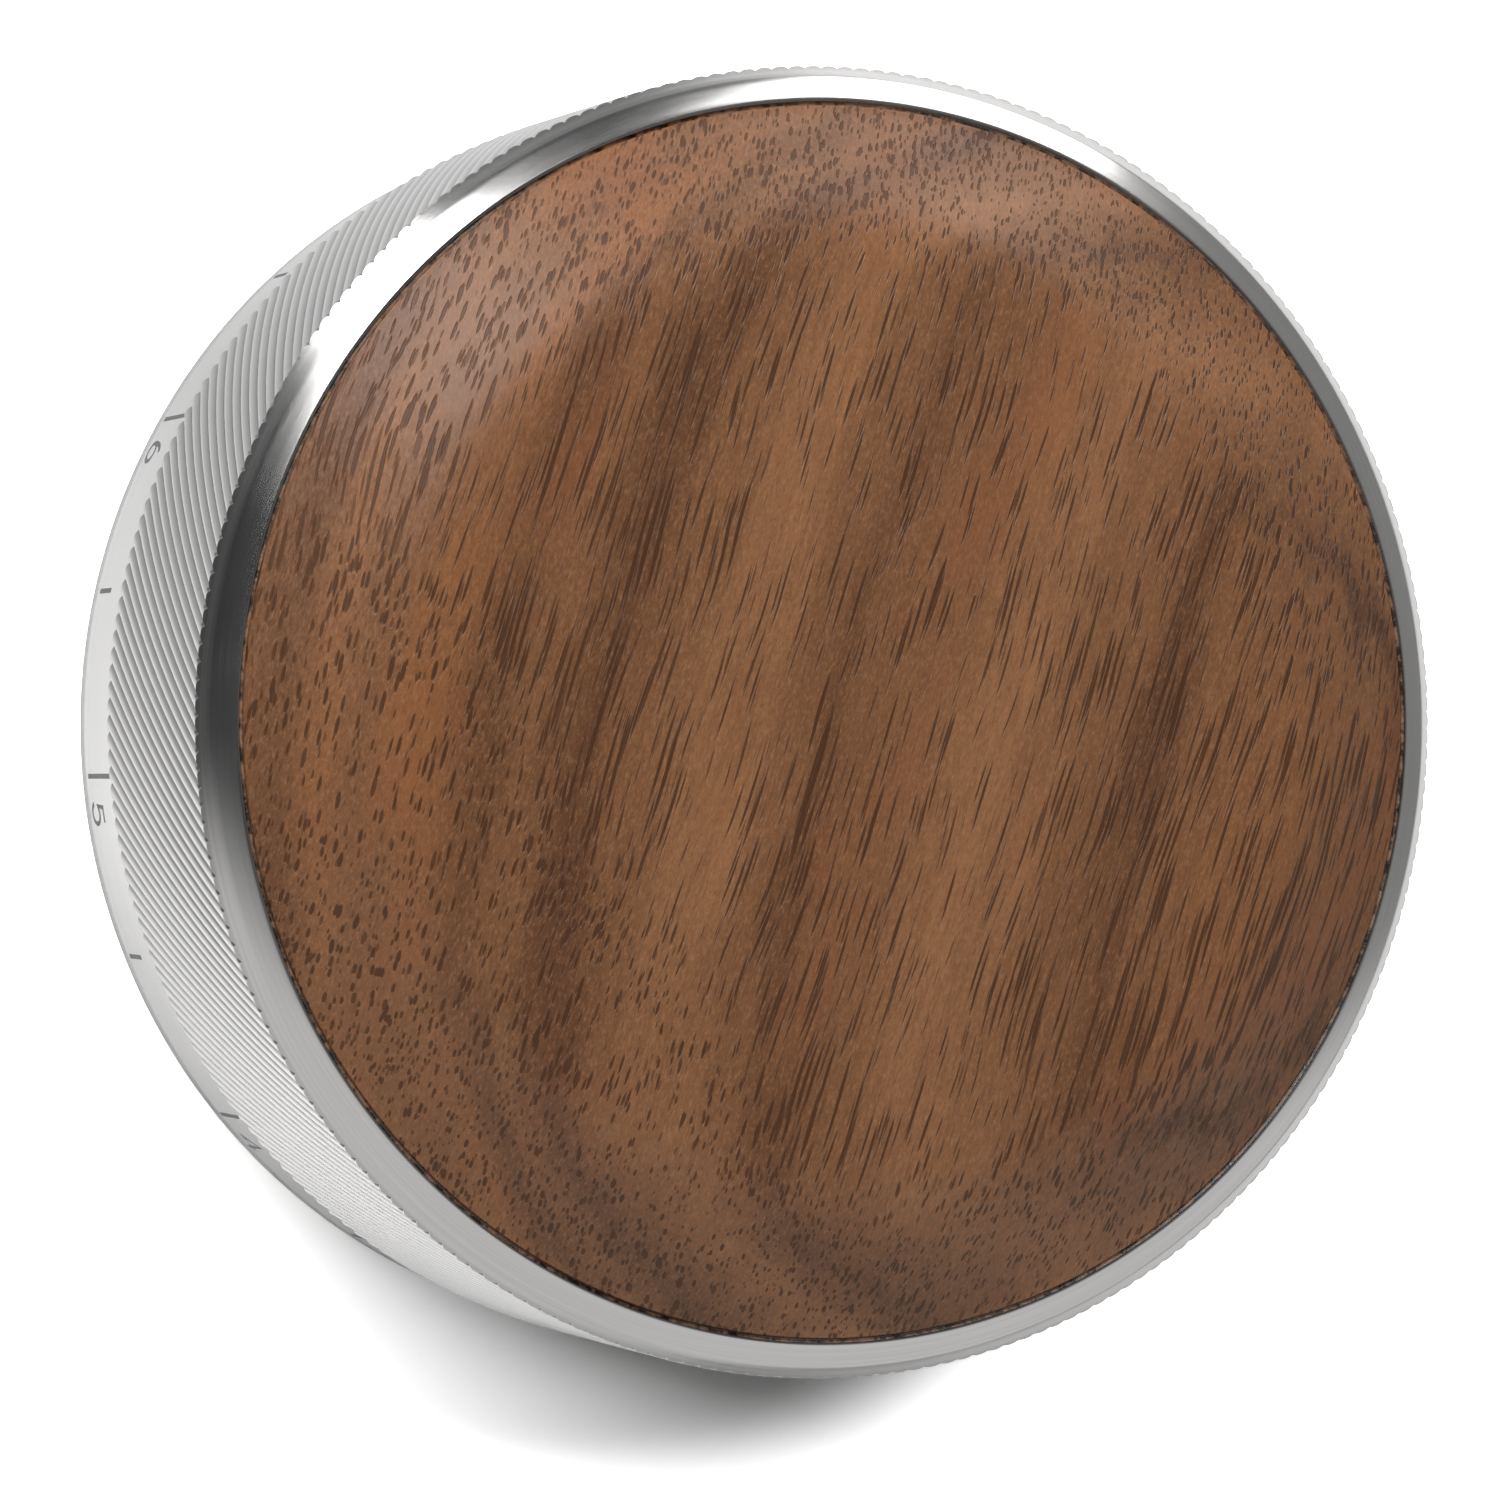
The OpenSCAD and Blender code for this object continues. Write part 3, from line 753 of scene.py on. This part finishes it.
def plain_solid(name, colour, roughness, grain=6.0, depth=0.02):
    """Rubber, plastic or paint with a fine grain; its depth is in millimetres."""
    g = Graph(name)
    fine = g.noise(g.scaled(g.position(), grain), 4, 0.6)
    g.set(
        base_color=g.shaded(colour, g.remap(fine, 0.3, 0.7, 0.8, 1.15)),
        roughness=g.remap(fine, 0.3, 0.7, roughness - 0.08, roughness + 0.08),
        normal=g.bump(fine, depth * MM, 0.6),
    )
    return g.material


def adhesive():
    """Dark adhesive with wood dust in it, glossy where it has flowed over the edge."""
    g = Graph("adhesive")
    spots = g.noise(g.scaled(g.position(), 1.3), 4, 0.7)
    dusty = g.remap(spots, 0.42, 0.6, smooth=True)
    g.set(
        base_color=g.mix(dusty, srgb(20, 14, 11), srgb(84, 62, 46)),
        roughness=g.remap(spots, 0.3, 0.7, 0.2, 0.5),
        normal=g.bump(spots, 0.08 * MM, 0.7),
    )
    return g.material


# ---- Pieces ----


def place_piece(obj, material, body, node):
    """Gives a piece its material and the body it rides on, and hides the CAD node it stands for."""
    use(obj, material)
    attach(obj, body)
    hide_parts(node)


steel = turned_steel("satin_steel", srgb(176, 175, 174), 6.0, knurled=True)
base_steel = turned_steel("base_steel", srgb(176, 175, 173), 5.0)
wood = walnut()
bond = adhesive()
ink = plain_solid("mark_ink", srgb(58, 58, 60), 0.55, 9.0, 0.004)

place_piece(shell_mesh(), steel, "handle", "handle_shell")
place_piece(wood_mesh(), wood, "handle", "wood_inlay")
place_piece(bond_mesh(), bond, "handle", "inlay_bond")
place_piece(scale_marks(), ink, "handle", "scale_marks")
place_piece(scale_numerals(), ink, "handle", "scale_numerals")
place_piece(index_mark(), ink, "base", "index_mark")
place_piece(base_mesh(), base_steel, "base", "tamping_base")

NODE_MATERIALS = {
    "base_carrier": plain_metal("carrier_aluminium", srgb(205, 206, 208), 0.35),
    "carrier_screws": plain_metal("screw_steel", srgb(96, 96, 100), 0.38),
    "pin_bushes": plain_metal("bush_bronze", srgb(196, 152, 96), 0.4),
    "wiper_ring": plain_solid("wiper_rubber", srgb(24, 24, 24), 0.5),
    "click_ring": plain_metal("ring_steel", srgb(120, 120, 124), 0.33),
    "drive_pins": plain_metal("pin_steel", srgb(190, 190, 192), 0.2),
    "thrust_washer": plain_solid("washer_plastic", srgb(232, 231, 224), 0.45),
    "thread_hub": plain_metal("hub_steel", srgb(112, 112, 116), 0.33),
}
NODE_MATERIALS["hub_screws"] = NODE_MATERIALS["carrier_screws"]
NODE_MATERIALS["detent_plugs"] = NODE_MATERIALS["carrier_screws"]
for same in ("stop_pin", "stop_post", "snap_ring", "detent_balls", "detent_springs"):
    NODE_MATERIALS[same] = NODE_MATERIALS["drive_pins"]
for node, material in NODE_MATERIALS.items():
    use(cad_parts[node], material)

# ---- Stage, lights and camera ----

FLOOR_R = 3000
FLOOR_GAP = 0.02                # below the tamping face, so that the two don't coincide
OPENING_R = BASE_R - 0.7
FLOOR_WHITE = 2.1               # the floor's colour for the camera; over 1 it comes out plain white


def stage_floor():
    """A wide pale floor, with an opening under the tamping face so that the face can be seen
    from below. It shows the camera more light than it sends back into the tamper."""
    columns = 64
    turn = np.arange(columns) * TAU / columns
    points = [
        (r * math.cos(a), r * math.sin(a), -FLOOR_GAP) for r in (FLOOR_R, OPENING_R) for a in turn
    ]
    floor = add_mesh("floor", points, grid_faces(2, columns, closed=False))
    g = Graph("floor_white")
    g.tree.nodes.remove(g.shader)
    paper = g.tree.nodes.new("ShaderNodeBsdfDiffuse")
    clear = g.tree.nodes.new("ShaderNodeBsdfTransparent")
    either = g.tree.nodes.new("ShaderNodeMixShader")
    ray = g.tree.nodes.new("ShaderNodeLightPath")
    side = g.tree.nodes.new("ShaderNodeNewGeometry")

    # Painted light and shade on the floor, for what the tamper reflects: most goes back from the +X
    # side, and little from near the tamper on the -X side
    x, y, z = g.split(g.position())
    near = g.times(g.remap(x, -25, 28, 0.36, 0.95), g.remap(g.from_axis(x, y), 60, 110, 1.0, 0.6))
    sent_back = g.larger(near, g.remap(y, 30, 90, 0.0, 0.62))
    grain = g.noise(g.scaled(g.position(), 0.05), 2)
    shade = g.times(
        g.remap(grain, 0.3, 0.7, 0.93, 0.95),
        g.remap(ray.outputs["Is Camera Ray"], 0, 1, sent_back, FLOOR_WHITE),
    )
    g.put(paper.inputs["Color"], g.join(shade, shade, shade))

    # The floor is clear from below
    g.put(either.inputs[0], side.outputs["Backfacing"])
    g.put(either.inputs[1], paper.outputs[0])
    g.put(either.inputs[2], clear.outputs[0])
    g.put(g.out.inputs[0], either.outputs[0])
    use(floor, g.material)


def set_world():
    """Studio surroundings that the steel reflects: bright towards +X, half bright towards +Y and
    below, dark elsewhere. The camera sees plain white, and no diffuse light comes from here."""
    world = bpy.data.worlds.new("studio")
    bpy.context.scene.world = world
    world.use_nodes = True
    tree = world.node_tree
    tree.nodes.clear()
    place = tree.nodes.new("ShaderNodeTexCoord")

    def side(direction, low, high, dim, bright):
        """Brightness that rises from dim to bright towards this direction."""
        toward = tree.nodes.new("ShaderNodeVectorMath")
        toward.operation = "DOT_PRODUCT"
        toward.inputs[1].default_value = direction
        tree.links.new(place.outputs["Generated"], toward.inputs[0])
        level = tree.nodes.new("ShaderNodeMapRange")
        level.interpolation_type = "SMOOTHSTEP"
        for socket, value in zip(list(level.inputs)[1:], (low, high, dim, bright)):
            socket.default_value = value
        tree.links.new(toward.outputs["Value"], level.inputs[0])
        return level.outputs[0]

    def brighter(a, b):
        node = tree.nodes.new("ShaderNodeMath")
        node.operation = "MAXIMUM"
        tree.links.new(a, node.inputs[0])
        tree.links.new(b, node.inputs[1])
        return node.outputs[0]

    walls = brighter(
        side((1.0, -0.1, 0.0), 0.02, 0.42, 0.07, 1.05),
        side((-0.3, 0.95, 0.0), 0.2, 0.7, 0.07, 0.42),
    )
    low_haze = side((0.0, 0.0, -1.0), -0.32, 0.0, 0.07, 0.45)
    surroundings = tree.nodes.new("ShaderNodeBackground")
    tree.links.new(brighter(walls, low_haze), surroundings.inputs[0])
    plain = tree.nodes.new("ShaderNodeBackground")
    plain.inputs[0].default_value = (1, 1, 1, 1)
    ray = tree.nodes.new("ShaderNodeLightPath")
    mix = tree.nodes.new("ShaderNodeMixShader")
    tree.links.new(ray.outputs["Is Camera Ray"], mix.inputs[0])
    tree.links.new(surroundings.outputs[0], mix.inputs[1])
    tree.links.new(plain.outputs[0], mix.inputs[2])
    out = tree.nodes.new("ShaderNodeOutputWorld")
    tree.links.new(mix.outputs[0], out.inputs[0])
    world.cycles_visibility.diffuse = False


def softbox(name, azimuth, elevation, width, height, radiance, distance=0.8):
    """A light box seen from the tamper at this azimuth and elevation, with this brightness.
    It faces the middle of the handle."""
    a, e = math.radians(azimuth), math.radians(elevation)
    toward = Vector((math.cos(a) * math.cos(e), math.sin(a) * math.cos(e), math.sin(e)))
    place = toward * distance
    light = bpy.data.lights.new(name, "AREA")
    light.shape = "RECTANGLE"
    light.size = width
    light.size_y = height
    light.energy = radiance * math.pi * width * height
    obj = bpy.data.objects.new(name, light)
    bpy.context.scene.collection.objects.link(obj)
    obj.location = place
    obj.rotation_euler = (Vector((0, 0, 0.03)) - place).to_track_quat("-Z", "Y").to_euler()
    return obj


def photo_camera():
    """The photograph's view: steeply from above the index side, rolled a quarter turn.
    Lengths are in millimetres."""
    azimuth, elevation, roll = math.radians(-4.05), math.radians(70.49), math.radians(89.28)
    distance = 348.5
    shift_right, shift_up = 4.8, 1.5                 # how far the tamper stands off the view's middle
    level = math.cos(elevation)
    back = Vector((math.sin(azimuth) * level, -math.cos(azimuth) * level, math.sin(elevation)))
    level_right = Vector((math.cos(azimuth), math.sin(azimuth), 0))
    level_up = back.cross(level_right)
    right = level_right * math.cos(roll) + level_up * math.sin(roll)
    up = level_up * math.cos(roll) - level_right * math.sin(roll)
    target = Vector((0, 0, EDGE_Z + RIM_H)) - right * shift_right - up * shift_up
    camera = bpy.data.cameras.new("photo_camera")
    camera.lens = 157.4
    camera.sensor_width = 36
    camera.clip_start = 0.01
    obj = bpy.data.objects.new("photo_camera", camera)
    bpy.context.scene.collection.objects.link(obj)
    turn = Matrix((right, up, back)).transposed().to_4x4()
    obj.matrix_world = Matrix.Translation((target + back * distance) * MM) @ turn
    bpy.context.scene.camera = obj


stage_floor()
photo_camera()
set_world()
# The boxes show as reflections only, and the lamps after them give the even light and the shadow
left_box = softbox("left_box", 204.5, 39, 0.25, 1.0, 7.8)
left_box.rotation_euler.rotate_axis("Z", math.radians(12))
right_box = softbox("right_box", 145, 25, 0.40, 0.62, 4.0)
for box in (left_box, right_box):
    box.visible_diffuse = False
key = softbox("key", 185, 37, 0.5, 0.5, 16.6)
front = softbox("front", 228, 42, 0.5, 0.5, 9.2)
overhead = softbox("overhead", 165, 76, 0.2, 0.2, 62.0, distance=1.0)
for lamp in (key, front, overhead):
    lamp.visible_glossy = False
bpy.context.scene.view_settings.view_transform = "Standard"
